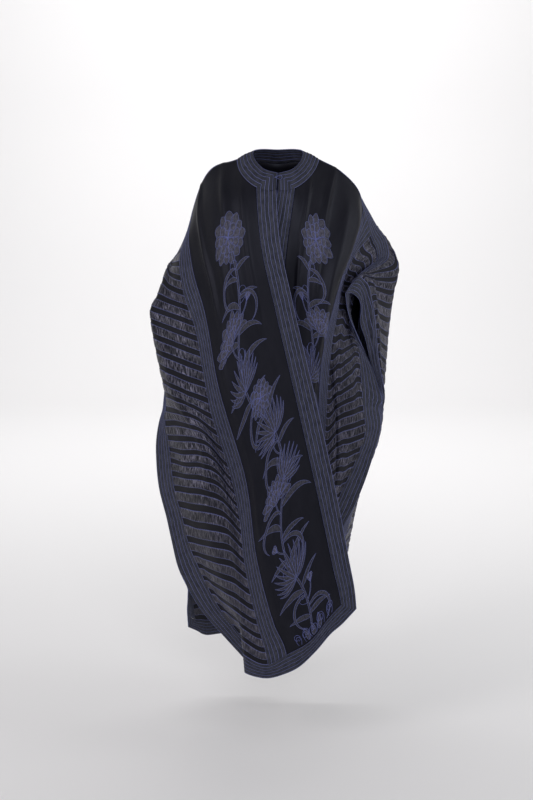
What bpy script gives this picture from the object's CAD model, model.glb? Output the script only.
import math

import bpy
import mathutils
import numpy as np
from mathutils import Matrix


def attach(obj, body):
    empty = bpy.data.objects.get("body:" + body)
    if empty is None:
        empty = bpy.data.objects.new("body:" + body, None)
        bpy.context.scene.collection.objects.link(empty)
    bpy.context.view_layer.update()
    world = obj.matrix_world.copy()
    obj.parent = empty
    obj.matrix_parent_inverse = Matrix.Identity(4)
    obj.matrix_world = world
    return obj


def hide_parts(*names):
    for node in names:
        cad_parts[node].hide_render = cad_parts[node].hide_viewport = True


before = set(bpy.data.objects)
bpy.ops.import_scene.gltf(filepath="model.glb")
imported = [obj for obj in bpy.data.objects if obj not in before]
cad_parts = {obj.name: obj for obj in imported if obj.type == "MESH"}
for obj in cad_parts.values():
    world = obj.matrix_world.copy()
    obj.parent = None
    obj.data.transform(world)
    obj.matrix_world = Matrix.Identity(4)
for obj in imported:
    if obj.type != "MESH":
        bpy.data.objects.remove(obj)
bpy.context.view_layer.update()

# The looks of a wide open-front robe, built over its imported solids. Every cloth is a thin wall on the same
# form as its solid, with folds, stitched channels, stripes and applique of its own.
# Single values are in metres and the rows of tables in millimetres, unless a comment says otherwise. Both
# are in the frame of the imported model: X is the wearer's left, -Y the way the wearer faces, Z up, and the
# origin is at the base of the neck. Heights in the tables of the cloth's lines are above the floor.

MM = 0.001


def metres(table):
    """A table of millimetres as an array of metres."""
    return np.array(table, float) / 1000


# The base of the neck above the floor, the length of each cloth from the shoulder, and its pieces' widths.
NECK_HEIGHT = 1.54
LENGTH = 1.32
BAND = 0.050
PLAIN = 0.250
STRIPED = 0.270
# What is left open between two pieces, too little for light to show through.
GAP = 0.00002

# Where the seams lie, from the front edge or from the shoulder.
EDGE_SEAM = BAND
INSET_SEAM = EDGE_SEAM + PLAIN
STRIPE_SEAM = INSET_SEAM + BAND
SIDE_SEAM = STRIPE_SEAM + STRIPED
SIDE = SIDE_SEAM + BAND
HEM_SEAM = LENGTH - BAND

# The neck is cut as half an oval from each cloth.
NECK_WIDTH = 0.107
NECK_FRONT = 0.130
NECK_BACK = 0.055

# Where front and back are sewn together down each side, between the hand slit and the vent. The rows are:
# down from the shoulder, x, y, height.
RIGHT_SIDE_SEAM = (
    (590, -316, 55, 877), (630, -325, 50, 845), (670, -332, 46, 805), (760, -334, 45, 730),
    (840, -327, 45, 652), (920, -307, 39, 570), (970, -294, 34, 508), (1050, -273, 26, 424),
    (1100, -252, 20, 380),
)
LEFT_SIDE_SEAM = (
    (520, 286, 45, 904), (590, 277, 40, 885), (660, 283, 36, 838), (760, 256, 20, 735), (900, 212, 10, 616),
    (1000, 176, 10, 544), (1060, 156, 12, 492), (1100, 142, 15, 460),
)

# Each cloth is a set of lines that run from the shoulder to the hem. A line is named by its distance from
# the front edge, or on the back from the middle and to the wearer's left, and its rows are as in the seams.
RIGHT_FRONT = {
    0: (
        (0, 0, 0, 1590), (130, -5, -100, 1471), (250, 1, -140, 1364), (450, 38, -155, 1184),
        (700, 92, -160, 956), (950, 144, -160, 722), (1150, 183, -155, 526), (1270, 204, -148, 420),
        (1320, 209, -140, 373),
    ),
    50: (
        (0, -52, 0, 1578), (110, -55, -92, 1482), (250, -45, -140, 1347), (450, -6, -155, 1166),
        (700, 48, -165, 934), (950, 102, -170, 695), (1150, 144, -170, 498), (1270, 167, -167, 393),
        (1320, 172, -156, 338),
    ),
    107: (
        (0, -107, 0, 1551), (130, -100, -97, 1452), (250, -83, -138, 1325), (450, -42, -154, 1137),
        (700, 13, -168, 900), (950, 66, -178, 657), (1150, 106, -182, 462), (1270, 134, -178, 360),
        (1320, 141, -166, 314),
    ),
    180: (
        (0, -170, 12, 1530), (130, -157, -85, 1410), (250, -130, -130, 1283), (450, -88, -150, 1090),
        (700, -32, -168, 843), (950, 18, -182, 598), (1150, 60, -192, 408), (1270, 94, -190, 311),
        (1320, 98, -180, 268),
    ),
    300: (
        (0, -226, 58, 1425), (70, -236, 8, 1350), (130, -226, -28, 1280), (250, -191, -80, 1162),
        (450, -154, -130, 972), (700, -84, -152, 730), (950, -54, -170, 515), (1150, -10, -192, 350),
        (1270, 23, -192, 264), (1320, 27, -188, 213),
    ),
    350: (
        (0, -238, 75, 1378), (60, -252, 40, 1335), (120, -260, 5, 1286), (210, -244, -32, 1205),
        (300, -217, -64, 1122), (420, -195, -94, 1010), (550, -170, -112, 884), (670, -131, -128, 763),
        (840, -100, -134, 620), (970, -87, -137, 500), (1130, -55, -155, 345), (1220, -32, -170, 268),
        (1320, -20, -174, 192),
    ),
    430: (
        (0, -258, 105, 1330), (60, -272, 100, 1306), (120, -285, 85, 1278), (170, -291, 60, 1249),
        (250, -288, 0, 1182), (340, -276, -38, 1105), (420, -261, -60, 1030), (500, -245, -80, 953),
        (590, -215, -108, 884), (670, -183, -130, 819), (840, -147, -128, 671), (970, -124, -122, 530),
        (1130, -102, -128, 364), (1220, -94, -135, 290), (1320, -85, -138, 190),
    ),
    505: (
        (0, -275, 135, 1290), (100, -294, 122, 1274), (170, -304, 105, 1262), (250, -326, 45, 1192),
        (300, -342, 22, 1156), (340, -340, 14, 1125), (420, -326, 6, 1048), (500, -306, -8, 970),
        (550, -291, -22, 926), (590, -266, -50, 889), (630, -240, -86, 860), (670, -223, -104, 828),
        (840, -199, -100, 683), (970, -174, -92, 532), (1130, -131, -100, 374), (1220, -90, -95, 282),
        (1320, -78, -95, 192),
    ),
    560: (
        (0, -290, 150, 1250), (80, -298, 134, 1228), (150, -308, 120, 1206), (210, -318, 104, 1188),
        (300, -332, 72, 1152), (380, -330, 65, 1086), (460, -321, 50, 1004), (550, -304, 22, 922),
        (590, -291, -5, 886), (630, -273, -35, 857), (670, -262, -53, 820), (840, -238, -58, 677),
        (970, -208, -50, 526), (1130, -159, -50, 375), (1220, -100, -50, 272), (1320, -74, -55, 188),
    ),
    620: (
        (0, -298, 155, 1215), (70, -304, 130, 1168), (150, -312, 115, 1125), (300, -320, 100, 1066),
        (420, -313, 86, 1003), (500, -303, 68, 952), (550, -302, 50, 914), (590, -306, 32, 882),
        (630, -307, 20, 846), (670, -300, 12, 809), (760, -292, 5, 742), (840, -283, 0, 668),
        (920, -261, 0, 580), (970, -248, -2, 520), (1050, -220, -10, 450), (1130, -189, -20, 384),
        (1180, -160, -25, 332), (1220, -112, -30, 268), (1270, -80, -32, 222), (1320, -70, -32, 192),
    ),
    670: (
        (0, -300, 156, 1190), (70, -302, 132, 1140), (150, -304, 122, 1095), (300, -312, 108, 1026),
        (420, -312, 94, 966), (500, -312, 78, 928), (550, -313, 66, 902),
    )
    + RIGHT_SIDE_SEAM
    + (
        (1130, -236, 12, 352), (1180, -200, 3, 300), (1220, -145, -5, 238), (1270, -95, -10, 182),
        (1320, -72, -10, 152),
    ),
}

LEFT_FRONT = {
    0: (
        (0, 2, 0, 1590), (130, -1, -91, 1471), (250, -21, -118, 1366), (450, -49, -124, 1190),
        (700, -86, -112, 952), (950, -110, -96, 724), (1320, -139, -45, 390),
    ),
    50: (
        (0, 52, 0, 1578), (110, 42, -88, 1480), (250, 24, -118, 1350), (450, 2, -130, 1154),
        (700, -29, -126, 912), (950, -60, -114, 683), (1320, -93, -72, 355),
    ),
    107: (
        (0, 107, 0, 1551), (130, 80, -90, 1446), (250, 58, -125, 1325), (450, 36, -132, 1130),
        (700, 7, -134, 884), (950, -22, -124, 648), (1320, -56, -90, 320),
    ),
    180: (
        (0, 164, 2, 1520), (130, 128, -82, 1405), (250, 102, -128, 1284), (450, 76, -138, 1098),
        (700, 46, -136, 850), (950, 18, -126, 608), (1320, -16, -100, 292),
    ),
    250: (
        (0, 213, 18, 1470), (70, 211, -30, 1396), (130, 194, -64, 1336), (250, 154, -112, 1240),
        (350, 131, -128, 1160), (450, 112, -128, 1068), (700, 80, -115, 826), (950, 53, -102, 578),
        (1320, 21, -80, 272),
    ),
    300: (
        (0, 228, 36, 1421), (70, 212, 2, 1362), (130, 190, -20, 1312), (250, 156, -52, 1210),
        (420, 117, -88, 1052), (600, 105, -92, 896), (950, 74, -80, 572), (1320, 46, -54, 262),
    ),
    350: (
        (0, 250, 62, 1354), (70, 205, 12, 1306), (140, 180, -10, 1258), (250, 160, -34, 1176),
        (400, 135, -66, 1020), (590, 125, -74, 850), (950, 100, -58, 546), (1320, 70, -24, 262),
    ),
    430: (
        (0, 270, 84, 1312), (70, 236, 50, 1284), (140, 205, 24, 1244), (250, 182, -2, 1172),
        (400, 162, -52, 1040), (590, 158, -64, 872), (950, 118, -48, 552), (1320, 82, 0, 268),
    ),
    490: (
        (0, 270, 90, 1285), (70, 238, 55, 1262), (140, 212, 32, 1226), (250, 190, 10, 1156),
        (400, 172, -44, 1045), (590, 174, -56, 880), (720, 170, -50, 766), (950, 127, -38, 554),
        (1320, 86, 14, 272),
    ),
    550: (
        (0, 235, 35, 1262), (70, 216, 32, 1230), (140, 203, 30, 1192), (250, 192, 22, 1135),
        (400, 190, -26, 1046), (590, 202, -38, 886), (720, 186, -36, 764), (950, 136, -26, 556),
        (1320, 89, 30, 277),
    ),
    620: (
        (0, 200, -18, 1236), (70, 193, -14, 1200), (140, 191, -6, 1162), (250, 200, 0, 1112),
        (420, 219, 0, 1035), (590, 232, 0, 889), (660, 238, -4, 829), (760, 208, -8, 735),
        (840, 172, -12, 654), (1000, 124, -5, 520), (1320, 94, 45, 282),
    ),
    670: (
        (0, 178, -42, 1206), (100, 188, -26, 1152), (220, 214, -4, 1092), (360, 246, 20, 1020),
        (460, 273, 34, 950),
    )
    + LEFT_SIDE_SEAM
    + (
        (1180, 120, 22, 395), (1320, 95, 50, 285),
    ),
}

BACK = {
    -670: (
        (0, -300, 156, 1190), (70, -298, 174, 1136), (150, -303, 176, 1080), (300, -310, 152, 992),
        (420, -313, 124, 945), (500, -314, 98, 918), (550, -315, 76, 898),
    )
    + RIGHT_SIDE_SEAM
    + (
        (1160, -252, 45, 342), (1240, -257, 75, 290), (1320, -257, 100, 228),
    ),
    -620: (
        (0, -298, 155, 1215), (70, -296, 180, 1162), (150, -302, 190, 1103), (300, -309, 178, 1010),
        (420, -312, 150, 950), (590, -310, 110, 862), (800, -302, 95, 672), (1080, -248, 78, 416),
        (1240, -240, 108, 270), (1320, -232, 125, 206),
    ),
    -560: (
        (0, -290, 150, 1250), (150, -296, 200, 1128), (400, -300, 186, 965), (750, -280, 142, 695),
        (1080, -236, 118, 410), (1320, -218, 142, 190),
    ),
    -505: (
        (0, -275, 135, 1290), (150, -284, 200, 1152), (400, -280, 196, 978), (750, -262, 162, 690),
        (1080, -222, 140, 405), (1320, -205, 152, 183),
    ),
    -430: (
        (0, -258, 105, 1330), (150, -260, 176, 1196), (400, -250, 192, 992), (750, -226, 182, 695),
        (1080, -195, 167, 400), (1320, -182, 172, 178),
    ),
    -350: (
        (0, -238, 75, 1378), (150, -234, 140, 1250), (400, -218, 172, 1036), (750, -192, 184, 722),
        (1080, -162, 186, 402), (1320, -150, 192, 176),
    ),
    -300: (
        (0, -226, 58, 1425), (150, -218, 122, 1300), (400, -200, 160, 1078), (750, -174, 180, 750),
        (1080, -145, 190, 412), (1320, -135, 198, 180),
    ),
    -180: (
        (0, -170, 12, 1530), (60, -166, 62, 1500), (150, -155, 104, 1415), (400, -138, 142, 1172),
        (750, -112, 172, 820), (1080, -88, 192, 460), (1320, -82, 202, 200),
    ),
    -107: (
        (0, -107, 0, 1551), (60, -104, 52, 1520), (150, -96, 94, 1438), (400, -80, 136, 1198),
        (750, -60, 168, 848), (1080, -44, 186, 498), (1320, -40, 196, 232),
    ),
    -50: (
        (0, -52, 0, 1578), (50, -50, 52, 1546), (150, -47, 97, 1453), (400, -38, 138, 1208),
        (750, -24, 168, 858), (1080, -12, 184, 515), (1320, -10, 192, 258),
    ),
    0: (
        (0, 0, 12, 1592), (55, 0, 66, 1542), (150, 0, 100, 1455), (400, 4, 140, 1208), (750, 12, 168, 860),
        (1080, 20, 182, 525), (1320, 22, 188, 270),
    ),
    50: (
        (0, 52, 0, 1578), (50, 50, 52, 1546), (150, 48, 98, 1453), (400, 47, 140, 1206),
        (750, 49, 170, 858), (1080, 52, 182, 525), (1320, 52, 187, 272),
    ),
    107: (
        (0, 107, 0, 1551), (60, 104, 52, 1520), (150, 98, 94, 1438), (400, 90, 140, 1196),
        (750, 86, 170, 850), (1080, 84, 182, 522), (1320, 82, 186, 274),
    ),
    180: (
        (0, 164, 2, 1520), (60, 165, 52, 1500), (150, 158, 98, 1418), (400, 148, 146, 1182),
        (750, 136, 176, 846), (1080, 124, 186, 522), (1320, 118, 190, 280),
    ),
    250: (
        (0, 213, 18, 1470), (60, 215, 60, 1455), (150, 208, 114, 1385), (400, 196, 160, 1150),
        (750, 176, 182, 830), (1080, 155, 186, 520), (1320, 145, 186, 290),
    ),
    300: (
        (0, 228, 36, 1421), (50, 243, 72, 1420), (150, 246, 130, 1352), (400, 232, 170, 1125),
        (750, 206, 184, 815), (1080, 178, 182, 516), (1320, 166, 180, 298),
    ),
    350: (
        (0, 250, 62, 1354), (50, 268, 92, 1378), (150, 282, 146, 1302), (400, 266, 178, 1080),
        (750, 232, 180, 785), (1080, 196, 172, 505), (1320, 180, 168, 305),
    ),
    430: (
        (0, 270, 84, 1312), (50, 297, 110, 1337), (100, 325, 130, 1302), (200, 322, 160, 1210),
        (400, 302, 175, 1010), (750, 258, 162, 745), (1080, 210, 140, 482), (1320, 190, 142, 312),
    ),
    490: (
        (0, 270, 90, 1285), (50, 302, 112, 1290), (90, 328, 130, 1264), (170, 321, 134, 1195),
        (250, 312, 132, 1122), (340, 307, 128, 1036), (420, 303, 125, 965), (750, 266, 130, 728),
        (900, 232, 122, 608), (1080, 205, 116, 478), (1320, 180, 124, 315),
    ),
    550: (
        (0, 235, 35, 1262), (50, 252, 48, 1262), (120, 264, 60, 1240), (170, 272, 64, 1208),
        (210, 277, 66, 1173), (300, 286, 76, 1088), (380, 289, 86, 1014), (500, 294, 95, 910),
        (700, 278, 102, 762), (900, 222, 90, 618), (1080, 196, 86, 478), (1320, 160, 100, 318),
    ),
    620: (
        (0, 200, -18, 1236), (60, 213, -6, 1245), (120, 224, 5, 1242), (170, 240, 15, 1220),
        (210, 252, 21, 1184), (300, 266, 36, 1104), (380, 275, 50, 1026), (460, 290, 60, 940),
        (560, 292, 64, 890), (660, 286, 66, 812), (850, 230, 48, 655), (1080, 178, 48, 475),
        (1320, 140, 78, 318),
    ),
    670: (
        (0, 178, -42, 1206), (60, 198, -26, 1203), (120, 218, -8, 1182), (170, 222, 0, 1154),
        (210, 220, 2, 1130), (300, 238, 20, 1072), (380, 257, 42, 1002), (460, 280, 56, 938),
    )
    + LEFT_SIDE_SEAM
    + (
        (1180, 128, 45, 395), (1320, 118, 62, 318),
    ),
}

# The inner edge of the neck band: how far round from the front middle in degrees, x, y, height.
NECK_HOLE = (
    (0, 0, -76, 1513), (30, -35, -64, 1523), (60, -57, -36, 1545), (90, -65, -4, 1568),
    (130, -48, 28, 1578), (180, 0, 40, 1578),
)

# Each side: the lines of its front, the way round that they run, the sign of distances on the back, and its
# side seam.
SIDES = {
    "right": {"front": RIGHT_FRONT, "out": 1, "sign": -1, "seam": RIGHT_SIDE_SEAM},
    "left": {"front": LEFT_FRONT, "out": -1, "sign": 1, "seam": LEFT_SIDE_SEAM},
}


# How far apart the places are from which the slope of a cloth is taken.
SLOPE_STEP = 0.004


def eased(part):
    return part * part * (3 - 2 * part)


def spline(knots, values, at):
    """Values at the places in at, on a smooth curve through the knots, straight beyond its ends."""
    knots = np.asarray(knots, float)
    wide = (-1,) + (1,) * (values.ndim - 1)
    widths = np.diff(knots).reshape(wide)
    slopes = np.diff(values, axis=0) / widths
    before, after = widths[:-1], widths[1:]
    middle = (slopes[:-1] * after + slopes[1:] * before) / (before + after)
    tangents = np.concatenate([slopes[:1], middle, slopes[-1:]])
    span = np.clip(np.searchsorted(knots, at, side="right") - 1, 0, len(knots) - 2)
    width = np.diff(knots)[span]
    part = (at - knots[span]) / width
    inside = np.clip(part, 0, 1)
    over = ((part - inside) * width)[:, None]
    if values.ndim == 2:
        here, beyond = span, span + 1
    else:
        each = np.arange(len(at))
        here, beyond = (span, each), (span + 1, each)
    t, width = inside[:, None], width[:, None]
    bend = eased(t)
    place = values[here] * (1 - bend) + values[beyond] * bend
    place = place + (tangents[here] * (1 - t) - tangents[beyond] * t) * width * t * (1 - t)
    return place + over * np.where(t > 0.5, tangents[beyond], tangents[here])


def on_cloth(lines, across, down):
    """Places of a cloth, for arrays of distances across it and down it."""
    across, down = np.broadcast_arrays(np.asarray(across, float), np.asarray(down, float))
    shape = across.shape
    across, down = across.ravel(), down.ravel()
    names = sorted(lines)
    places = []
    for name in names:
        rows = metres(lines[name])
        places.append(spline(rows[:, 0], rows[:, 1:], down))
    found = spline(metres(names), np.array(places), across).reshape(shape + (3,))
    return found - np.array((0, 0, NECK_HEIGHT))


def unit(ways):
    return ways / np.maximum(np.linalg.norm(ways, axis=-1, keepdims=True), 1e-9)


def facing(lines, outward, across, down):
    """The way out of a cloth at those places."""
    along = on_cloth(lines, across + SLOPE_STEP, down) - on_cloth(lines, across - SLOPE_STEP, down)
    drop = on_cloth(lines, across, down + SLOPE_STEP) - on_cloth(lines, across, down - SLOPE_STEP)
    return unit(outward * np.cross(along, drop))


# The wall of a cloth runs from LINING to FACE, measured out of its solid's inner side.
LINING = 0.2 * MM
FACE = 1.0 * MM
# Rows above this place down the cloth are squeezed in below the cut of the neck.
LEVEL = 0.260
# Two places nearer than this are one.
NEAR = 0.001
# Along a sewn side, and this far beyond its ends, front and back share one way out, unless they face apart.
SEWN_MARGIN = 0.02
OPPOSED = -0.8
# The neck band: the middle of its round edge along Y, how far it bulges up between its edges, how many
# points it has along the front and the back, and how far round its inner edge starts, in degrees.
NECK_MIDDLE = -0.012
NECK_BULGE = 0.012
NECK_FRONT_POINTS = 24
NECK_BACK_POINTS = 40
NECK_START = 1.2

# Spacing of the points of the meshes, down or across the cloth, and how many times fewer the inner side has.
FRONT_STEP = 0.005
BACK_STEP = 0.0065
CRINKLE_STEP = 0.0023
BACK_CRINKLE_STEP = 0.0042
PLAIN_STEP = 0.0042
INNER_SHARE = 3

# The multipliers that scatter the noise.
SCATTER = (12.9898, 78.233, 37.719, 43758.5453)

# One channel of a band, how far from one to the next in the noise, and how far before its start a place
# still counts to it, as a part of a channel.
CHANNEL = 0.010
CHANNEL_APART = 1.7
CHANNEL_MARGIN = 0.01
# Over one channel: place across it and how far it stands out.
CHANNEL_SHAPE = (
    (0.0, 1.15), (0.9, 0.20), (2.7, 0.95), (5.0, 1.30), (7.3, 0.95), (9.1, 0.20), (10.0, 1.15),
)
# Over one channel: place across it and the share of a pucker there.
PUCKER_SHAPE = ((0, 0), (1, 0.5), (5, 1), (9, 0.5), (10, 0))
# Puckers between the stitches: height in millimetres and length. Waves over several channels: the same and
# their width.
PUCKER = 0.30
PUCKER_LENGTH = 0.0075
WAVE = 0.35
WAVE_LENGTH = 0.06
WAVE_WIDTH = 0.03
# How far the stitched lines of a band stray sideways, and over what length and width.
STRAY = 1.1 * MM
STRAY_LENGTH = 0.013
STRAY_WIDTH = 0.02

# One repeat of the stripes, with a strip in its middle.
PITCH = 0.042
STRIP_MIDDLE = PITCH / 2
STRIP_HALF = 0.012
# Over one repeat, from the middle of the plain stripe: place and height.
STRIPE_SHAPE = (
    (0.0, 0.0), (4.5, 0.0), (8.2, 0.0), (9.0, 1.30), (9.9, 0.70), (13.0, 0.80), (17.0, 0.85),
    (21.0, 0.90), (25.0, 0.85), (29.0, 0.80), (32.1, 0.70), (33.0, 1.30), (33.8, 0.0), (37.5, 0.0),
)
# How much the ruches lean, and how high a strip rises and over what distance from its edges, in millimetres.
PLEAT_LEAN = 0.15
STRIP_RISE = 0.25
STRIP_SHOULDER = 2.0
# Ruches of a strip: length across in metres, step in the noise from strip to strip, and the length down and
# the height in millimetres.
FINE_RUCHES = (0.0036, 3.1, 22, 0.42)
BROAD_RUCHES = (0.0095, 2.3, 14, 0.45)
# The long ones: length, step from strip to strip, and height in millimetres in flat and in twisted strips.
ROPE_LENGTH = 0.013
ROPE_APART = 1.9
FLAT_ROPE = 0.35
TWISTED_ROPE = 1.0
# The scallops of a strip's edges: depth in millimetres, length, how far they reach, how they go on in the
# next strip, and the length over which they vary.
SCALLOP = 0.8
SCALLOP_LENGTH = 0.0091
SCALLOP_REACH = 0.0045
SCALLOP_TURN = 2.4
SCALLOP_DRIFT = 0.02
SCALLOP_APART = 1.3

# The crepe's own unevenness: height in millimetres, and length across and down.
CREPE_WAVE = 0.12
CREPE_ACROSS = 0.012
CREPE_DOWN = 0.02

# Folds of each cloth: across and down at one end, across and down at the other, width and height. Across is
# counted as the names of the cloth's lines are.
FOLDS = {
    "right_front": (
        (236, -30, 252, 320, 8, 6.5), (145, -30, 165, 420, 13, 7.5), (92, 60, 115, 500, 9, 4.5),
        (195, 100, 205, 750, 16, 3.5), (262, 350, 272, 1000, 12, 3.5), (130, 600, 150, 1200, 16, 3.0),
        (215, 800, 225, 1260, 14, 3.0), (0, 130, 0, 1270, 11, 6.0), (30, 60, 28, 340, 3.5, 2.2),
        (12, 100, 16, 300, 3.0, -1.5), (42, 160, 36, 420, 3.0, 1.5), (400, 700, 420, 1300, 14, 3.0),
        (470, 300, 480, 900, 14, 3.0), (325, 120, 440, 620, 13, 5.0),
    ),
    "left_front": (
        (158, -30, 188, 380, 9, 6.5), (92, 40, 118, 460, 8, 5.0), (215, 20, 235, 500, 11, 5.0),
        (130, 400, 150, 1100, 14, 3.0), (26, 80, 30, 300, 3.0, 1.5), (335, 280, 500, 860, 8, -4.5),
        (655, 60, 635, 340, 5, -2.5), (560, 40, 630, 260, 7, 3.0), (480, 100, 600, 420, 9, 3.5),
    ),
    "back": (
        (-130, 100, -150, 1250, 14, 4.5), (-230, 200, -240, 1250, 14, 4.5), (-40, 200, -50, 1250, 14, 4.5),
        (60, 150, 70, 1250, 14, 4.5), (160, 150, 170, 1250, 14, 4.5), (250, 200, 240, 1250, 14, 4.5),
        (610, 100, 662, 440, 5, 4.0), (660, 160, 628, 520, 5, -3.0), (590, 240, 640, 620, 6, 3.5),
        (540, 60, 620, 300, 8, 4.0),
    ),
}
# A fold rises to its height at both ends over one of this many parts of its length.
FOLD_ENDS = 5
# Where the strips of a cloth slide down it, with the same columns and the slide as the height.
SLIDES = {"left_front": ((475, 40, 475, 580, 62, 15),)}

# The noise of each cloth has its own number, and its finer kinds the numbers just after it.
SEEDS = {"right_front": 1, "left_front": 11, "right_back": 21, "left_back": 31}
NECK_SEED = 41
PLAIN_FRONT_SEED, FRONT_HEM_SEED, SHOULDER_SEED, PLAIN_BACK_SEED, BACK_HEM_SEED = 4, 6, 7, 8, 9
# How far the long ruches of each side lean, and so how twisted its strips look.
TWISTS = {"right": 0.0, "left": 0.9}


def noise(x, y, seed):
    """Smooth noise from -1 to 1, one lump to each unit of x and y."""
    low_x, low_y = np.floor(x), np.floor(y)
    part_x, part_y = eased(x - low_x), eased(y - low_y)

    def corner(i, j):
        by_x, by_y, by_seed, by_all = SCATTER
        value = np.sin((low_x + i) * by_x + (low_y + j) * by_y + seed * by_seed) * by_all
        return 2 * (value - np.floor(value)) - 1

    top = corner(0, 0) * (1 - part_x) + corner(1, 0) * part_x
    bottom = corner(0, 1) * (1 - part_x) + corner(1, 1) * part_x
    return top * (1 - part_y) + bottom * part_y


def folds(table, across, down):
    """How far a cloth stands out along the folds of a table."""
    lift = np.zeros(np.broadcast(across, down).shape)
    for *ends, width, height in table:
        u0, v0, u1, v1 = metres(ends)
        run = np.array((u1 - u0, v1 - v0))
        length = np.linalg.norm(run)
        part = ((across - u0) * run[0] + (down - v0) * run[1]) / length**2
        away = ((across - u0) * run[1] - (down - v0) * run[0]) / length
        full = np.clip(part * FOLD_ENDS, 0, 1) * np.clip((1 - part) * FOLD_ENDS, 0, 1)
        lift += height * MM * full * full * (3 - 2 * full) * np.exp(-((away / (width * MM)) ** 2))
    return lift


def cloth_of(side, cloth):
    """The lines of one cloth, the sign of its distances, and the way that its outside faces."""
    if cloth == "front":
        return SIDES[side]["front"], 1, SIDES[side]["out"]
    return BACK, SIDES[side]["sign"], 1


def shaped(side, cloth, across, down):
    """Places and ways out over a grid of a cloth, shared with the other cloth where the two are sewn."""
    lines, sign, outward = cloth_of(side, cloth)
    places = on_cloth(lines, sign * across, down)
    along, drop = np.gradient(places, axis=0), np.gradient(places, axis=1)
    ways = unit(outward * sign * np.cross(along, drop))
    seam = metres(SIDES[side]["seam"])[:, 0]
    sewn = (down > seam[0] - SEWN_MARGIN) & (down < seam[-1] + SEWN_MARGIN)
    shared = (across > SIDE - NEAR) & sewn | (down < NEAR)
    if shared.any():
        pair = []
        for other in ("front", "back"):
            lines, sign, outward = cloth_of(side, other)
            pair.append(facing(lines, outward, sign * across[shared], down[shared]))
        clear = (pair[0] * pair[1]).sum(axis=-1) > OPPOSED
        ways[shared] = np.where(clear[:, None], unit(pair[0] + pair[1]), ways[shared])
    return places, ways


def cut(depth, across):
    """How far down the neck is cut, at a distance from the middle."""
    return depth * np.sqrt(np.maximum(1 - (np.abs(across) / NECK_WIDTH) ** 2, 0))


def quads(first, columns, rows):
    """The faces of a grid of points that starts at first, column after column."""
    i, j = np.meshgrid(np.arange(columns - 1), np.arange(rows - 1), indexing="ij")
    a = (first + i * rows + j).ravel()
    return np.stack([a, a + 1, a + rows + 1, a + rows], axis=1)


def thinned(count):
    """Every few of that many places, with the last."""
    return sorted(set(range(0, count, INNER_SHARE)) | {count - 1})


def rim(outer, inner, picks):
    """Faces from an edge of the outer side to the same edge of the inner side, which has its picks alone."""
    faces = []
    for m in range(len(picks) - 1):
        low, high = picks[m], picks[m + 1]
        middle = (low + high) // 2 + (low + 1 == high)
        faces += [(outer[k], outer[k + 1], inner[m]) for k in range(low, middle)]
        faces.append((inner[m + 1], inner[m], outer[middle]))
        faces += [(outer[k], outer[k + 1], inner[m + 1]) for k in range(middle, high)]
    return faces


def closed_wall(name, outer, inner_all, flat, material):
    """A closed wall from the grid of its outer side, with an inner side of fewer points."""
    columns, rows = outer.shape[:2]
    pick_columns, pick_rows = thinned(columns), thinned(rows)
    inner = inner_all[np.ix_(pick_columns, pick_rows)]
    inner_flat = flat[np.ix_(pick_columns, pick_rows)]
    first = columns * rows
    few = len(pick_rows)
    faces = quads(0, columns, rows).tolist()
    faces += quads(first, len(pick_columns), few)[:, ::-1].tolist()
    outer_at = np.arange(first).reshape(columns, rows)
    inner_at = first + np.arange(len(pick_columns) * few).reshape(-1, few)
    turned_columns = [columns - 1 - k for k in reversed(pick_columns)]
    turned_rows = [rows - 1 - k for k in reversed(pick_rows)]
    edges = (np.s_[:, 0], pick_columns), (np.s_[-1, :], pick_rows)
    edges += (np.s_[::-1, -1], turned_columns), (np.s_[0, ::-1], turned_rows)
    for edge, picks in edges:
        faces += rim(outer_at[edge].tolist(), inner_at[edge].tolist(), picks)
    points = np.concatenate([outer.reshape(-1, 3), inner.reshape(-1, 3)])
    flats = np.concatenate([flat.reshape(-1, 3), inner_flat.reshape(-1, 3)])
    return mesh_piece(name, points, faces, flats, material, (outer - inner_all).reshape(-1, 3))


def mesh_piece(name, points, faces, flats, material, ways):
    """A smooth piece that keeps its flat places, with its faces turned to look along its points' ways."""
    mesh = bpy.data.meshes.new(name)
    mesh.from_pydata(points.tolist(), [], faces)
    corners = np.array([face[:3] for face in faces])
    corners = corners[corners[:, 0] < len(ways)]
    first, second, third = (points[corners[:, k]] for k in range(3))
    if (np.cross(second - first, third - first) * ways[corners[:, 0]]).sum() < 0:
        mesh.flip_normals()
    mesh.polygons.foreach_set("use_smooth", np.ones(len(mesh.polygons), bool))
    mesh.attributes.new("flat", "FLOAT_VECTOR", "POINT").data.foreach_set("vector", np.ravel(flats))
    mesh.materials.append(MATERIALS[material])
    mesh.update()
    piece = bpy.data.objects.new(name, mesh)
    bpy.context.scene.collection.objects.link(piece)
    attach(piece, BODY)
    return piece


def channels(s, run, seed):
    """The height of a channelled band. s is the distance across it and run the distance along it."""
    table, puckers = np.array(CHANNEL_SHAPE), np.array(PUCKER_SHAPE)
    at = np.mod(s, CHANNEL) / MM
    at = np.where(np.abs(s - BAND) < NEAR / 10, 0.0, at)
    height = np.interp(at, table[:, 0], table[:, 1])
    share = np.interp(at, puckers[:, 0], puckers[:, 1])
    which = np.floor(s / CHANNEL + CHANNEL_MARGIN)
    pull = noise(run / PUCKER_LENGTH, which * CHANNEL_APART, seed)
    wave = noise(run / WAVE_LENGTH, s / WAVE_WIDTH, seed + 3)
    return (height + PUCKER * share * pull + WAVE * wave) * MM


def stray(s, run, seed):
    """How far the stitched lines of a band stray sideways. Its edges stay in place."""
    sway = noise(run / STRAY_LENGTH, s / STRAY_WIDTH, seed + 6)
    return STRAY * sway * np.sin(math.pi * np.clip(s / BAND, 0, 1))


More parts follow.
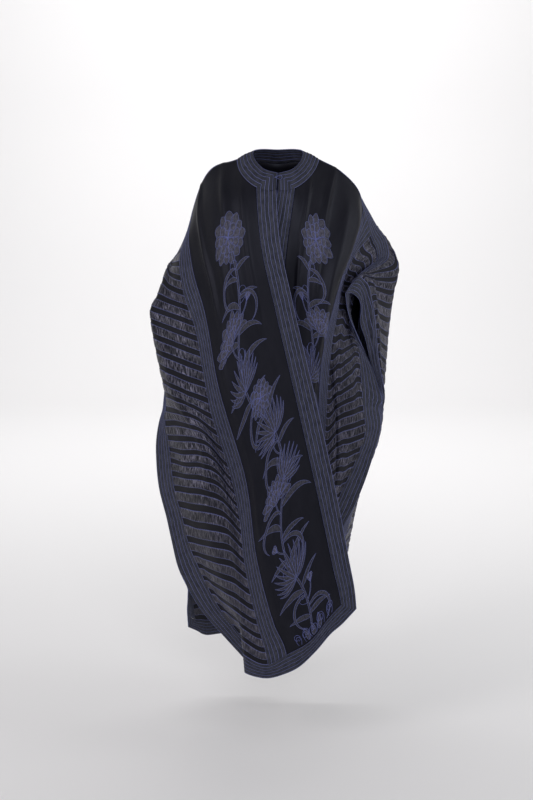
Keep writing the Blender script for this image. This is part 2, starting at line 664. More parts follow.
def ruches(lean, row, at, shape, seed):
    """The height of small folds that lie over the strips, in millimetres."""
    length, apart, fall, height = shape
    return height * noise(lean / length, row * apart + at / fall, seed)


def crinkle(across, down, seed, twist):
    """The height of a striped panel with its strips ruched. twist is how far the long ruches lean."""
    table = np.array(STRIPE_SHAPE + ((PITCH / MM, 0.0),))
    at = np.mod(down, PITCH) / MM
    row = np.floor(down / PITCH)
    height = np.interp(at, table[:, 0], table[:, 1])
    away = at - STRIP_MIDDLE / MM
    inside = np.clip((STRIP_HALF / MM - np.abs(away)) / STRIP_SHOULDER, 0, 1)
    lean = across - PLEAT_LEAN * (at * MM - STRIP_MIDDLE)
    rope = noise((across + twist * away * MM) / ROPE_LENGTH, row * ROPE_APART, seed + 2)
    bulge = (TWISTED_ROPE if twist else FLAT_ROPE) * rope
    bulge = bulge + ruches(lean, row, at, BROAD_RUCHES, seed + 1) + ruches(lean, row, at, FINE_RUCHES, seed)
    return (height + inside * (STRIP_RISE + bulge)) * MM


def scallop(across, down, seed):
    """How far down the edges of the strips shift."""
    away = np.mod(down, PITCH) - STRIP_MIDDLE
    near = np.clip(1 - np.abs(np.abs(away) - STRIP_HALF) / SCALLOP_REACH, 0, 1)
    row = np.floor(down / PITCH)
    turn = across / SCALLOP_LENGTH * 2 * math.pi + row * SCALLOP_TURN
    wave = np.sin(turn) * 0.5 + 0.5 * noise(across / SCALLOP_DRIFT, row * SCALLOP_APART, seed)
    return near * np.sign(away) * wave * SCALLOP * MM


def make_cloth(name, side, cloth, across, down, slot, seed, s=None, run=None, twist=None):
    """One cloth piece on a grid. A band has distances s across it and run along it, and a strip a twist."""
    _, sign, _ = cloth_of(side, cloth)
    shift, aside = 0.0, 0.0
    flat = np.stack([across, down, 0 * down], axis=-1)
    if slot == "ribbed_band":
        lift = channels(s, run, seed)
        wander = stray(s, run, seed)
        shift, aside = (0.0, wander) if run is down else (wander, 0.0)
        flat = np.stack([run, s, 0 * s], axis=-1)
    elif slot == "striped_crinkle":
        lift = crinkle(across, down, seed, twist)
        slide = SLIDES.get(side + "_" + cloth, ())
        shift = scallop(across, down, seed) + folds(slide, across, down)
    else:
        lift = CREPE_WAVE * MM * noise(across / CREPE_ACROSS, down / CREPE_DOWN, seed)
    places, ways = shaped(side, cloth, across + aside, down + shift)
    bulk = folds(FOLDS["back" if cloth == "back" else side + "_front"], sign * across, down)
    outer = places + ways * (FACE + lift + bulk)[..., None]
    inner = places + ways * (LINING + bulk)[..., None]
    piece = closed_wall(name, outer, inner, flat, slot)
    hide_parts(name)


def spread(start, end, step):
    """Evenly spaced places from one seam to another, set in by half a gap at both."""
    count = max(int(round((end - start) / step)), 2)
    return np.linspace(start + GAP / 2, end - GAP / 2, count + 1)


def over_channels():
    """Places across a band, at the tops and feet of its channels."""
    table = np.array(CHANNEL_SHAPE)[:-1, 0] * MM
    places = (np.arange(round(BAND / CHANNEL))[:, None] * CHANNEL + table).ravel()
    places = np.append(places, BAND)
    places[0], places[-1] = GAP / 2, BAND - GAP / 2
    return places


def grid(columns, rows):
    """The places across and down of every point of a grid."""
    return np.repeat(columns[:, None], len(rows), axis=1), np.repeat(rows[None, :], len(columns), axis=0)


def below(top, across, down):
    """Places down a cloth, with the rows above LEVEL squeezed in below the cut at its top."""
    start = top(across)[:, None] + GAP / 2
    part = (down - down[0]) / (LEVEL - down[0])
    return np.where(down < LEVEL, start + (LEVEL - start) * part, down)


def no_cut(across):
    return np.zeros(np.shape(across))


def front_cut(across):
    return np.maximum(cut(NECK_FRONT, across) - GAP, 0)


def under_band(across):
    return np.full(np.shape(across), BAND)


def back_cut(across):
    return np.where(np.abs(across) > NECK_WIDTH, BAND, cut(NECK_BACK, across))


def stripe_rows(start, end):
    """Rows of a striped panel, at the tops and feet of its strips."""
    table = np.array(STRIPE_SHAPE)[:, 0] * MM
    rows = (np.arange(int(end / PITCH) + 1)[:, None] * PITCH + table).ravel()
    rows = rows[(rows > start + NEAR) & (rows < end - NEAR)]
    return np.concatenate([[start], rows, [end - GAP / 2]])


def build_down(side, cloth):
    """The pieces of a cloth that run from its shoulder to its hem band."""
    front = cloth == "front"
    name = side + "_" + cloth + "_"
    seed = SEEDS[side + "_" + cloth]
    start, step = (0.0, FRONT_STEP) if front else (BAND, BACK_STEP)
    rows = spread(start, HEM_SEAM, step)
    rows[0] = start
    top = no_cut if front else under_band
    bands = [("inset_band", INSET_SEAM, top), ("side_band", SIDE_SEAM, top)]
    if front:
        bands.append(("edge_band", 0.0, front_cut))
    for kind, at, band_top in bands:
        across, _ = grid(at + over_channels(), rows)
        down = below(band_top, across[:, 0], rows)
        make_cloth(name + kind, side, cloth, across, down, "ribbed_band", seed, across - at, down)
    columns = spread(STRIPE_SEAM, SIDE_SEAM, CRINKLE_STEP if front else BACK_CRINKLE_STEP)
    across, down = grid(columns, stripe_rows(start, HEM_SEAM))
    panel = name + "striped_panel"
    make_cloth(panel, side, cloth, across, down, "striped_crinkle", seed + 5, twist=TWISTS[side])


def build_plain(name, side, cloth, columns, rows, top, seed):
    across, _ = grid(columns, rows)
    make_cloth(name, side, cloth, across, below(top, columns, rows), "plain_crepe", seed)


def hem_columns(start, end):
    """Columns of a hem band, close together where its channels turn the corners."""
    corner = over_channels()
    middle = spread(BAND, SIDE - BAND, FRONT_STEP)
    columns = np.concatenate([corner, middle, SIDE - corner[::-1]])
    return columns[(columns > start) & (columns < end)]


def build_across(name, side, cloth, columns, s_of, start, seed):
    """A band along a shoulder or a hem. s_of gives the distance across it at each place of the cloth."""
    across, down = grid(columns, start + over_channels())
    make_cloth(name, side, cloth, across, down, "ribbed_band", seed, s_of(across, down), across)


def front_hem(across, down):
    return np.minimum(np.minimum(across, SIDE - across), LENGTH - down)


def back_hem(across, down):
    return np.minimum(SIDE - np.abs(across), LENGTH - down)


def shoulder(across, down):
    return np.minimum(SIDE - across, down)


def neck_seam(side):
    """Places, ways out and distance from the front edge, along the cut of the neck to its middle behind."""
    quarter = math.pi / 2
    corner = np.arcsin(over_channels() / NECK_WIDTH)
    turns = np.concatenate([corner, np.linspace(corner[-1], quarter, NECK_FRONT_POINTS)[1:]])
    front = NECK_WIDTH * np.sin(turns)
    front_down = np.maximum(NECK_FRONT * np.cos(turns) - GAP / 2, 0)
    back = NECK_WIDTH * np.cos(np.linspace(0, quarter, NECK_BACK_POINTS)[1:])
    back_down = np.maximum(cut(NECK_BACK, back) - GAP / 2, 0)
    back[-1] = 0.0
    # No place behind is near the front edge, so its distance from it is taken as a metre and more.
    halves = (("front", front, front_down, front), ("back", back, back_down, back + 1))
    parts = []
    for cloth, across, down, edge in halves:
        lines, sign, outward = cloth_of(side, cloth)
        ways = facing(lines, outward, sign * across, down)
        parts.append((on_cloth(lines, sign * across, down), ways, edge))
    return [np.concatenate(pair) for pair in zip(*parts)]


def neck_edge(side, outside):
    """The places on the inner edge of the neck band that lie across from those on its outer edge."""
    table = np.array(NECK_HOLE, float)
    turn = np.degrees(np.arctan2(np.abs(outside[:, 0]), NECK_MIDDLE - outside[:, 1]))
    turn[0], turn[-1] = NECK_START, 180
    found = spline(table[:, 0], metres(table[:, 1:]), turn)
    found[:, 0] *= 1 if side == "right" else -1
    found[:, 2] -= NECK_HEIGHT
    return found


def build_neck():
    right, left = neck_seam("right"), neck_seam("left")
    outside, seam_way, front = (np.concatenate([r, l[-2::-1]]) for r, l in zip(right, left))
    inside = np.concatenate([neck_edge("right", right[0]), neck_edge("left", left[0])[-2::-1]])
    table = over_channels()
    part = (table / BAND)[:, None, None]
    part = (part - part[0]) / (part[-1] - part[0])
    length = np.concatenate([[0], np.cumsum(np.linalg.norm(np.diff(outside, axis=0), axis=1))])
    run = np.repeat(length[None, :], len(table), axis=0)
    moved = part + stray(part[..., 0] * BAND, run, NECK_SEED)[..., None] / BAND
    places = outside[None] * (1 - moved) + inside[None] * moved
    places[..., 2] += NECK_BULGE * (part * (1 - part))[..., 0]
    way = unit(np.cross(np.gradient(places, axis=1), np.gradient(places, axis=0)))
    way = way * np.sign((way * seam_way[None]).sum())
    way[0] = seam_way
    s = np.maximum(np.repeat((part * BAND)[..., 0], places.shape[1], axis=1), (BAND - front)[None, :])
    lift = channels(s, run, NECK_SEED)
    flat = np.stack([run, s, 0 * s], axis=-1)
    outer = places + way * (FACE + lift)[..., None]
    inner = places + way * LINING
    piece = closed_wall("neck_band", outer, inner, flat, "ribbed_band")
    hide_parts("neck_band")


BODY = "root"
MATERIALS = {}

# What every material has: lumps of its weave to the metre, roughness from and to, strength and height of the
# weave's bump, weight and roughness of its sheen, specular level, and the tint of both.
WEAVES = {
    "plain_crepe": ((1500, 900, 1), (0.40, 0.54), (0.30, 0.0003), (0.03, 0.30), 0.20, (0.76, 0.79, 1.0)),
    "ribbed_band": ((900, 1500, 1), (0.48, 0.68), (0.45, 0.0004), (0.05, 0.40), 0.30, (0.75, 0.82, 1.0)),
    "striped_crinkle": ((1500, 900, 1), (0.60, 0.38), (0.35, 0.0004), (0.03, 0.35), 0.35, (0.84, 0.84, 1.0)),
    "flower_cloth": ((1300, 1100, 1), (0.46, 0.62), (0.50, 0.0004), (0.05, 0.40), 0.30, (0.75, 0.80, 1.0)),
    "flower_cord": ((900, 900, 0), (0.38, 0.55), (0.50, 0.0003), (0.05, 0.40), 0.35, (0.75, 0.80, 1.0)),
    "button_cloth": ((1800,) * 3, (0.36, 0.50), (0.50, 0.0003), (0.05, 0.40), 0.40, (0.75, 0.80, 1.0)),
}
# Where the noise of a weave and the broader noise of a colour start and stop to count.
WEAVE_RANGE = (0.2, 0.8)
CLOUD_RANGE = (0.3, 0.7)

# Linear colours. A pair goes from the dark places to the light ones.
CREPE = ((0.0030, 0.0030, 0.0052), (0.0060, 0.0058, 0.0088))
SLATE = ((0.014, 0.0145, 0.022), (0.036, 0.036, 0.049))
SLATE_SEAM = (0.007, 0.008, 0.015)
BAND_CORD = ((0.046, 0.052, 0.114), (0.148, 0.162, 0.345))
STRIPE_BLACK = (0.0040, 0.0040, 0.0060)
SATIN = ((0.006, 0.006, 0.011), (0.166, 0.158, 0.232))
SATIN_POOL = (0.012, 0.012, 0.018)
SATIN_SHADE = (0.008, 0.008, 0.012)
SATIN_PATCH = (0.009, 0.009, 0.014)
SATIN_CALM = (0.046, 0.044, 0.058)
STRIP_CORD = ((0.045, 0.052, 0.118), (0.122, 0.136, 0.310))
PETAL_EDGE = ((0.011, 0.011, 0.016), (0.040, 0.038, 0.050))
PETAL_HEART = ((0.028, 0.027, 0.040), (0.098, 0.094, 0.128))
CORD_EDGE = ((0.050, 0.058, 0.145), (0.128, 0.146, 0.335))
CORD_HEART = ((0.065, 0.075, 0.220), (0.165, 0.190, 0.500))
BUTTON = ((0.010, 0.010, 0.016), (0.026, 0.026, 0.040))

# Lumps to the metre along the cloth, each way.
CREPE_CLOUDS = (28, 14, 1)
CREPE_THREADS = (260, 30, 1)
BAND_CLOUDS = (60, 90, 1)
PLEATS = (380, 50, 1)
POOLS = (70, 40, 1)
SHADES = (13, 3.5, 1)
PETAL_CLOUDS = (240, 160, 1)
BUTTON_CLOUDS = (400, 400, 400)
# The dark patches: lumps to the metre across, and how far the noise moves on from strip to strip.
PATCHES_ACROSS = 62.0
PATCHES_APART = 0.42
# How much of the crepe's unevenness is in its clouds. The rest is in its threads.
CREPE_CLOUD_SHARE = 0.6
# How rough the noise of the pleats is: its detail, and how much of it is fine.
PLEAT_NOISE = (3.0, 0.65)

# Over what distances these marks fade out, in metres: from a line of stitching the cord and the shade of the
# seam, from a band's front edge its cord, and from the middle of a strip its satin and its patches.
LINE_CORD = (0.00035, 0.00075)
LINE_SHADE = (0.0010, 0.0024)
EDGE_CORD = (0.0009, 0.0014)
STRIP_END = (0.0116, 0.0121)
PATCH_END = (0.008, 0.009)
# The same from the edges of a strip for its cords.
STRIP_CORD_END = (0.00055, 0.00105)
# Half the length of a stitch, where the dip between two of them starts and ends, and their bump.
STITCH = 0.0016
STITCH_DIP = (0.0003, 0.0006)
STITCH_BUMP = (0.5, 0.0003)
# Over what values of their noise these come or go, with how strong they are at both ends.
RIDGES_COME = (0.44, 0.62)
PATCHES_COME = (0.56, 0.60)
POOLS_GO = (0.35, 0.70, 0.72, 0.0)
SHADES_GO = (0.38, 0.62, 0.60, 0.0)
# The lower strips get calmer over these places down the cloth, to this share.
CALM_COMES = (0.80, 1.15, 0.0, 0.50)
PLEAT_BUMP = (0.8, 0.0010)
RIDGE_SHEEN = 0.10
# The specular level of the crepe between the strips, and what a strip loses of it and gains on its ridges.
STRIPE_SHINE = 0.22
STRIP_SHINE_LOSS = 0.12
RIDGE_SHINE = 0.60


def give(tree, socket, value):
    """Sets a socket to a value, or links it to another socket."""
    if isinstance(value, bpy.types.NodeSocket):
        tree.links.new(value, socket)
    else:
        socket.default_value = value


def calc(tree, operation, *values):
    made = tree.nodes.new("ShaderNodeMath")
    made.operation = operation
    for socket, value in zip(made.inputs, values):
        give(tree, socket, value)
    return made.outputs[0]


def joined(tree, x, y):
    """A place from its two distances on the flat cloth."""
    made = tree.nodes.new("ShaderNodeCombineXYZ")
    give(tree, made.inputs["X"], x)
    give(tree, made.inputs["Y"], y)
    return made.outputs[0]


def lumps(tree, place, scale=None, detail=2.0, rough=0.5):
    """Noise from 0 to 1, of scale lumps to the metre each way."""
    if scale is not None:
        scaled = tree.nodes.new("ShaderNodeVectorMath")
        scaled.operation = "MULTIPLY"
        give(tree, scaled.inputs[0], place)
        give(tree, scaled.inputs[1], scale)
        place = scaled.outputs[0]
    made = tree.nodes.new("ShaderNodeTexNoise")
    give(tree, made.inputs["Vector"], place)
    made.inputs["Scale"].default_value = 1.0
    made.inputs["Detail"].default_value = detail
    made.inputs["Roughness"].default_value = rough
    return made.outputs["Fac"]


def ramp(tree, value, low, high, start=0.0, end=1.0):
    """Goes smoothly from start to end while value goes from low to high."""
    made = tree.nodes.new("ShaderNodeMapRange")
    made.interpolation_type = "SMOOTHSTEP"
    for name, number in (("From Min", low), ("From Max", high), ("To Min", start), ("To Max", end)):
        made.inputs[name].default_value = number
    give(tree, made.inputs["Value"], value)
    return made.outputs["Result"]


def mix(tree, share, first, second):
    """The first colour where share is 0 and the second where it is 1."""
    made = tree.nodes.new("ShaderNodeMix")
    made.data_type = "RGBA"
    give(tree, made.inputs["Factor"], share)
    for name, value in (("A", first), ("B", second)):
        socket = [each for each in made.inputs if each.name == name and each.type == "RGBA"][0]
        give(tree, socket, value if isinstance(value, bpy.types.NodeSocket) else (*value, 1.0))
    return [each for each in made.outputs if each.type == "RGBA"][0]


def bump(tree, height, strength, distance, under=None):
    made = tree.nodes.new("ShaderNodeBump")
    made.inputs["Strength"].default_value = strength
    made.inputs["Distance"].default_value = distance
    give(tree, made.inputs["Height"], height)
    if under is not None:
        give(tree, made.inputs["Normal"], under)
    return made.outputs["Normal"]


def fade(tree, value, near, far):
    """1 up to near, and 0 from far on."""
    return ramp(tree, value, near, far, 1.0, 0.0)


def new_material(name):
    """Starts a material. Returns its tree, its surface's inputs, and the flat place whole and in parts."""
    _, _, _, (sheen, sheen_rough), shine, tint = WEAVES[name]
    material = bpy.data.materials.new(name)
    material.use_nodes = True
    tree = material.node_tree
    flat = tree.nodes.new("ShaderNodeAttribute")
    flat.attribute_name = "flat"
    parts = tree.nodes.new("ShaderNodeSeparateXYZ")
    tree.links.new(flat.outputs["Vector"], parts.inputs[0])
    surface = tree.nodes["Principled BSDF"].inputs
    surface["Specular IOR Level"].default_value = shine
    surface["Specular Tint"].default_value = (*tint, 1.0)
    surface["Sheen Weight"].default_value = sheen
    surface["Sheen Roughness"].default_value = sheen_rough
    surface["Sheen Tint"].default_value = (*tint, 1.0)
    MATERIALS[name] = material
    return tree, surface, flat.outputs["Vector"], parts.outputs


def finish(tree, surface, name, grain, colour):
    """Sets the colour, and the roughness and fine bump that follow a grain. Returns the bump."""
    _, (smooth, rough), (strength, height), _, _, _ = WEAVES[name]
    give(tree, surface["Base Color"], colour)
    give(tree, surface["Roughness"], ramp(tree, grain, *WEAVE_RANGE, smooth, rough))
    fine = bump(tree, grain, strength, height)
    give(tree, surface["Normal"], fine)
    return fine


def plain_crepe():
    """Black crepe: a fine pebbly weave, a little uneven in colour and shine."""
    name = "plain_crepe"
    tree, surface, flat, _ = new_material(name)
    cloud = calc(tree, "MULTIPLY", lumps(tree, flat, CREPE_CLOUDS), CREPE_CLOUD_SHARE)
    threads = calc(tree, "MULTIPLY", lumps(tree, flat, CREPE_THREADS, detail=1.0), 1 - CREPE_CLOUD_SHARE)
    colour = mix(tree, ramp(tree, calc(tree, "ADD", cloud, threads), *CLOUD_RANGE), *CREPE)
    finish(tree, surface, name, lumps(tree, flat, WEAVES[name][0]), colour)


def ribbed_band():
    """Slate cloth stitched in channels, with a blue cord on each line of stitching and along the edge."""
    name = "ribbed_band"
    tree, surface, flat, parts = new_material(name)
    run, across = parts["X"], parts["Y"]
    off = calc(tree, "PINGPONG", across, CHANNEL / 2)
    cord = calc(tree, "MAXIMUM", fade(tree, off, *LINE_CORD), fade(tree, across, *EDGE_CORD))
    stitch = ramp(tree, calc(tree, "PINGPONG", run, STITCH), *STITCH_DIP)
    cloth = mix(tree, ramp(tree, lumps(tree, flat, BAND_CLOUDS), *CLOUD_RANGE), *SLATE)
    cloth = mix(tree, fade(tree, off, *LINE_SHADE), cloth, SLATE_SEAM)
    colour = mix(tree, cord, cloth, mix(tree, stitch, *BAND_CORD))
    fine = finish(tree, surface, name, lumps(tree, flat, WEAVES[name][0]), colour)
    give(tree, surface["Normal"], bump(tree, stitch, *STITCH_BUMP, fine))


def strip_light(tree, flat, across, down, ridge, away):
    """The colour of crinkled satin: light on its ridges, with darker pools, shades and small patches."""
    light = mix(tree, ridge, *SATIN)
    light = mix(tree, ramp(tree, lumps(tree, flat, POOLS), *POOLS_GO), light, SATIN_POOL)
    light = mix(tree, ramp(tree, lumps(tree, flat, SHADES, detail=1.0), *SHADES_GO), light, SATIN_SHADE)
    row = calc(tree, "FLOOR", calc(tree, "DIVIDE", down, PITCH))
    place = calc(tree, "MULTIPLY", across, PATCHES_ACROSS), calc(tree, "MULTIPLY", row, PATCHES_APART)
    patch = ramp(tree, lumps(tree, joined(tree, *place), detail=0.0), *PATCHES_COME)
    patch = calc(tree, "MULTIPLY", patch, fade(tree, away, *PATCH_END))
    light = mix(tree, patch, light, SATIN_PATCH)
    return mix(tree, ramp(tree, down, *CALM_COMES), light, SATIN_CALM)


def striped_crinkle():
    """Black crepe with crinkled satin strips, corded in blue along both edges."""
    name = "striped_crinkle"
    weave, (crepe_rough, satin_rough), (strength, height), _, _, _ = WEAVES[name]
    tree, surface, flat, parts = new_material(name)
    across, down = parts["X"], parts["Y"]
    away = calc(tree, "ABSOLUTE", calc(tree, "SUBTRACT", calc(tree, "MODULO", down, PITCH), STRIP_MIDDLE))
    strip = fade(tree, away, *STRIP_END)
    edge = calc(tree, "ABSOLUTE", calc(tree, "SUBTRACT", away, STRIP_HALF))
    cord = fade(tree, edge, *STRIP_CORD_END)
    leaning = joined(tree, calc(tree, "SUBTRACT", across, calc(tree, "MULTIPLY", down, PLEAT_LEAN)), down)
    pleats = lumps(tree, leaning, PLEATS, *PLEAT_NOISE)
    ridge = ramp(tree, pleats, *RIDGES_COME)
    light = strip_light(tree, flat, across, down, ridge, away)
    colour = mix(tree, cord, mix(tree, strip, STRIPE_BLACK, light), mix(tree, pleats, *STRIP_CORD))
    give(tree, surface["Base Color"], colour)
    rough = calc(tree, "MULTIPLY", strip, satin_rough - crepe_rough)
    give(tree, surface["Roughness"], calc(tree, "ADD", crepe_rough, rough))
    fine = bump(tree, lumps(tree, flat, weave), strength, height)
    give(tree, surface["Normal"], bump(tree, calc(tree, "MULTIPLY", pleats, strip), *PLEAT_BUMP, fine))
    raised = calc(tree, "MULTIPLY", strip, ridge)
    give(tree, surface["Sheen Weight"], calc(tree, "MULTIPLY", raised, RIDGE_SHEEN))
    shine = calc(tree, "SUBTRACT", calc(tree, "MULTIPLY", ridge, RIDGE_SHINE), STRIP_SHINE_LOSS)
    shine = calc(tree, "ADD", calc(tree, "MULTIPLY", shine, strip), STRIPE_SHINE)
    give(tree, surface["Specular IOR Level"], shine)


def flower_cloth():
    """Thin grey-blue cloth over the black, brighter towards the hearts of the flowers."""
    name = "flower_cloth"
    tree, surface, _, parts = new_material(name)
    place = joined(tree, parts["X"], parts["Y"])
    cloud = ramp(tree, lumps(tree, place, PETAL_CLOUDS), *CLOUD_RANGE)
    colour = mix(tree, parts["Z"], mix(tree, cloud, *PETAL_EDGE), mix(tree, cloud, *PETAL_HEART))
    finish(tree, surface, name, lumps(tree, place, WEAVES[name][0]), colour)


def flower_cord():
    """Twisted blue embroidery cord, clearer towards the hearts of the flowers."""
    name = "flower_cord"
    tree, surface, flat, parts = new_material(name)
    twist = lumps(tree, flat, WEAVES[name][0])
    colour = mix(tree, parts["Z"], mix(tree, twist, *CORD_EDGE), mix(tree, twist, *CORD_HEART))
    finish(tree, surface, name, twist, colour)


def button_cloth():
    """Dark slate cloth drawn tight over the button, with a fine cross weave."""
    name = "button_cloth"
    tree, surface, flat, _ = new_material(name)
    colour = mix(tree, ramp(tree, lumps(tree, flat, BUTTON_CLOUDS), *CLOUD_RANGE), *BUTTON)
    finish(tree, surface, name, lumps(tree, flat, WEAVES[name][0]), colour)


# The applique, an own design of ordinary flowers and leaves, the same on both fronts. Lengths and widths are
# in millimetres. Headings, turns and curls are in degrees: 0 is up the cloth, 90 away from the front edge.
STEM_START = (172, 1225)
STEM_HEADING = -24
STEM_WIDTH = 6.0
STALK_WIDTH = 3.0
# length, how far it turns
STEM_ARCS = ((150, 50), (215, -56), (240, 64), (240, -62), (190, 34))
# place along the stem, turn from the stem, length, width, curl
LEAVES = (
    (22, 74, 92, 15, 42), (30, -66, 84, 14, -40), (96, 50, 118, 17, 66), (112, -58, 78, 13, -30),
    (186, -42, 112, 16, -64), (214, 64, 74, 13, 48), (272, -60, 86, 14, -58), (296, 38, 104, 15, 74),
    (348, -40, 122, 17, -70), (372, 62, 66, 12, 40), (424, -62, 78, 13, -46), (444, 40, 96, 15, 70),
    (498, -50, 74, 13, -62), (574, -40, 108, 16, -66), (598, 58, 70, 13, 52), (652, -58, 74, 13, -50),
    (668, 42, 94, 16, 66), (726, 62, 70, 12, 44), (746, -42, 120, 17, -72), (818, 58, 76, 13, 58),
    (838, -50, 92, 14, -64), (894, 46, 88, 14, 66), (918, -56, 70, 13, -52), (962, 52, 60, 11, 60),
    (986, -50, 56, 11, -58),
)
# The long curled leaves that lie on top of the others, with the same columns.
CURLED_LEAVES = (
    (48, -52, 150, 10, -185), (84, 60, 150, 10, 185), (262, -66, 150, 10, -175), (336, 58, 150, 10, 190),
    (506, 66, 170, 10, 175), (652, 74, 132, 10, 175), (925, -60, 134, 9, -185), (990, 62, 134, 9, 180),
)
# place along the stem, turn from the stem, number of leaves, spread, length, width, curl
TUFTS = (
    (150, 0, 13, 200, 100, 9, -120), (410, -30, 9, 160, 80, 9, -110), (530, 10, 13, 200, 92, 9, -120),
    (712, -10, 12, 190, 84, 9, -110),
)
# How the leaves of a tuft get shorter with the square of their place from its middle.
TUFT_LOSS = 0.8
# place along the stem, turn from the stem, length of the stalk, its curl, kind, size
BLOOMS = (
    (1035, 0, 0, 0, "round", 54), (790, 46, 54, -34, "fan", 66), (590, -54, 30, 34, "round", 42),
    (332, 52, 40, -34, "fan", 60), (236, 50, 34, -20, "bud", 24), (470, 62, 40, -56, "bud", 26),
    (872, -52, 44, 40, "bud", 26), (66, -60, 44, 54, "bud", 24),
)
# The petals of a bud: turn and layer, and their width and curl as shares of size and turn.
BUD_PETALS = ((-24, 0), (24, 0), (0, 1))
BUD_WIDTH = 0.42
BUD_CURL = -0.8
BUD_BRIGHT = 1.0
# The rings of a round flower: number of petals, their length and width as shares of its size, brightness.
ROUND_RINGS = ((13, 1.0, 0.50, 0.35), (9, 0.66, 0.44, 0.65), (5, 0.34, 0.30, 0.95))
# How far up its foot lies, as a share of its size, and the curl of its petals.
ROUND_FOOT = 0.55
ROUND_CURL = 14
# The rings of a fan: number of petals, their spread, length and width as shares of its size, brightness.
FAN_RINGS = ((9, 150, 1.0, 0.36, 0.30), (7, 110, 0.78, 0.32, 0.55), (5, 76, 0.52, 0.28, 0.80))
# The curl of its petals, as a share of their turn.
FAN_CURL = 0.25
# The small leaves on its foot: turns, then length and width as shares of its size, layer, brightness.
FAN_LEAF_TURNS = (-70, 0, 70)
FAN_LEAF = (0.42, 0.16, 7, 0.6)
# How unequal the petals of a ring are in length, and how that goes round it.
ROUND_UNEQUAL = (0.07, 2.3)
FAN_UNEQUAL = (0.06, 2.9)
# place along the stem, turn from the stem, length, curl
TENDRILS = (
    (160, 66, 118, -400), (60, 78, 96, -380), (384, -70, 112, 400), (512, 66, 108, -390),
    (640, -72, 96, 380), (760, -66, 104, 390), (905, -66, 100, 400), (968, 60, 100, -390),
)
# The scrolls of the ground that it grows from: across, down, heading, length, curl
SCROLLS = (
    (92, 1262, -34, 62, 330), (104, 1262, 24, 84, -350), (128, 1262, -26, 92, 360),
    (146, 1262, 20, 70, -330), (164, 1262, -40, 64, 340), (182, 1262, 38, 66, -340),
    (200, 1262, -18, 74, 330), (214, 1262, 26, 92, -360), (238, 1262, -24, 82, 350),
    (250, 1262, 34, 60, -330),
)
# The leaves between them: across, down, heading, length, width, curl
MOUND = ((150, 1262, -24, 46, 18, 20), (172, 1262, 0, 40, 18, 0), (194, 1262, 24, 46, 18, -20))
# How much faster a tendril or a scroll curls at its end, and how many steps it takes.
TIGHTEN = 0.9
TENDRIL_STEPS = 40
# The layer and the brightness of each kind of part. A brightness of 1 is at the heart of a flower.
LAYERS = {
    "stem": (0, 0.15), "stalk": (1, 0.15), "leaf": (1, 0.1), "curled": (2, 0.2), "mound": (1, 0.3),
    "tendril": (0.3, 0.4), "scroll": (2, 0.7),
}
TUFT_BRIGHT = 0.2

# The outline of a leaf: the power that sets where it is widest, and the one that sets how blunt it is.
LEAF_OUTLINE = (0.62, 0.85)
# The same of a petal, where it is cut off, the width of its foot, and the depth and beat of its wavy edge.
PETAL_OUTLINE = (1.9, 0.55)
PETAL_END = 0.995
PETAL_FOOT = 0.35
PETAL_WAVE = 0.17
PETAL_WAVES = 26
# How many steps a blade has along it and how many points across it.
BLADE_STEPS = 14
BLADE_POINTS = 5
# Part of the length that the middle cord runs. A petal wider than this has two more cords, which stop this
# many points short of both ends.
VEIN = 0.8
WIDE_PETAL = 20
CORD_SHORT = 3
OUTLINE_RADIUS = 0.48 * MM
LINE_RADIUS = 0.28 * MM
CORD_SIDES = 5
# How high above the cloth a blade lies at its edges, how much it is domed, how much each layer adds, and how
# far above its blade a cord lies.
FILL_HEIGHT = 0.30 * MM
DOME = 0.45 * MM
ON_TOP = 0.22 * MM
CORD_LIFT = 0.1 * MM


def walk(start, heading, length, curl, count=BLADE_STEPS, tighten=0.0):
    """Places and headings along a curve on the flat cloth. With tighten it curls faster towards its end."""
    part = np.linspace(0, 1, count + 1)
    turn = np.radians(heading + curl * (part * (1 - tighten) + tighten * part**2))
    middle = (turn[:-1] + turn[1:]) / 2
    step = length * MM / count
    u = start[0] + np.concatenate([[0], np.cumsum(np.sin(middle) * step)])
    v = start[1] - np.concatenate([[0], np.cumsum(np.cos(middle) * step)])
    return np.stack([u, v], axis=1), turn


def half_width(kind, width, part):
    """Half the width of a leaf, a petal or a stalk along its length."""
    half = width * MM / 2
    if kind == "leaf":
        widest, blunt = LEAF_OUTLINE
        return half * np.sin(math.pi * part**widest) ** blunt
    if kind == "petal":
        widest, blunt = PETAL_OUTLINE
        wide = np.sin(math.pi * np.minimum(part, PETAL_END) ** widest) ** blunt
        half = half * (wide * (PETAL_FOOT + (1 - PETAL_FOOT) * part))
        return half * (1 + PETAL_WAVE * np.sin(part * PETAL_WAVES))
    return np.full(len(part), half)


def blade(start, heading, length, width, curl, kind, level, bright):
    """A leaf, petal or stalk: its filled shape on the flat cloth and the cords on its edges and middle."""
    spine, turn = walk(start, heading, length, curl)
    part = np.linspace(0, 1, len(spine))
    half = half_width(kind, width, part)
    side = np.stack([np.cos(turn), np.sin(turn)], axis=1)
    across = np.linspace(-1, 1, BLADE_POINTS)
    places = spine[:, None] + side[:, None] * (half[:, None] * across[None, :])[..., None]
    height = FILL_HEIGHT + level * ON_TOP + DOME * (1 - across**2) * np.ones((len(part), 1))
    first, last = places[:, 0], places[:, -1]
    if kind == "stalk":
        edges, lines = [first, last], []
    else:
        edges, lines = [np.concatenate([first, last[::-1]])], [spine[1 : int(len(spine) * VEIN)]]
    if kind == "petal" and width > WIDE_PETAL:
        lines += [places[CORD_SHORT:-CORD_SHORT, k] for k in (1, BLADE_POINTS - 2)]
    cords = [(line, OUTLINE_RADIUS) for line in edges] + [(line, LINE_RADIUS) for line in lines]
    return {"places": places, "height": height, "cords": cords, "level": level, "bright": bright}


